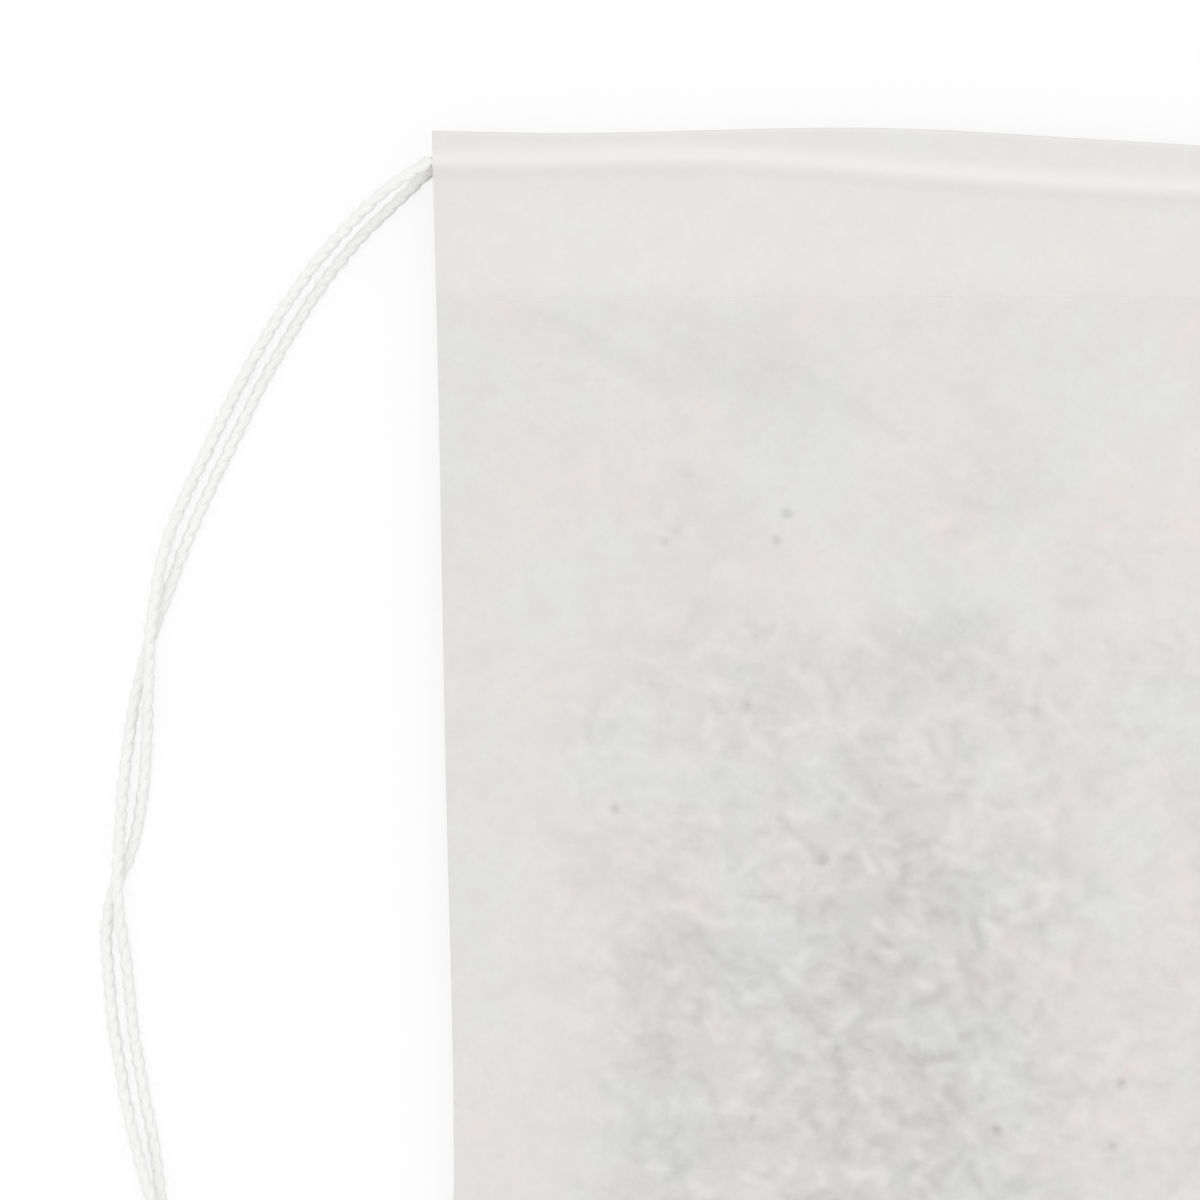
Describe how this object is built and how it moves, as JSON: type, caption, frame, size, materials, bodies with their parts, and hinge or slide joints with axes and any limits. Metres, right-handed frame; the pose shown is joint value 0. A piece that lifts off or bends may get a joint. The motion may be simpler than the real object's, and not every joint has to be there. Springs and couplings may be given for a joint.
{
  "type": "drawstring tea bag",
  "caption": "Filled tea bag of folded filter paper with sealed sides, a hemmed open top and a cotton drawstring that closes it, lying on its back.",
  "frame": {"origin": "centre of the bag paper's box, on the surface it lies on", "axes": "+X across the bag, away from the side where the drawstring leaves; +Y along the bag, from the bottom fold to the open hem; +Z out of the front face, up from the surface it lies on"},
  "size_m": [0.0759, 0.0805, 0.0077],
  "materials": {
    "filter_paper": "matte, porous and slightly fibrous",
    "cotton_thread": "matte twisted cotton",
    "tea_leaf": "dull dried leaf"
  },
  "bodies": {
    "root": {"bag_paper": "filter_paper", "tea_fill": "tea_leaf", "drawstring_hem_loop": "cotton_thread", "drawstring_front_run": "cotton_thread", "drawstring_back_run": "cotton_thread", "drawstring_knot": "cotton_thread"}
  },
  "joints": []
}
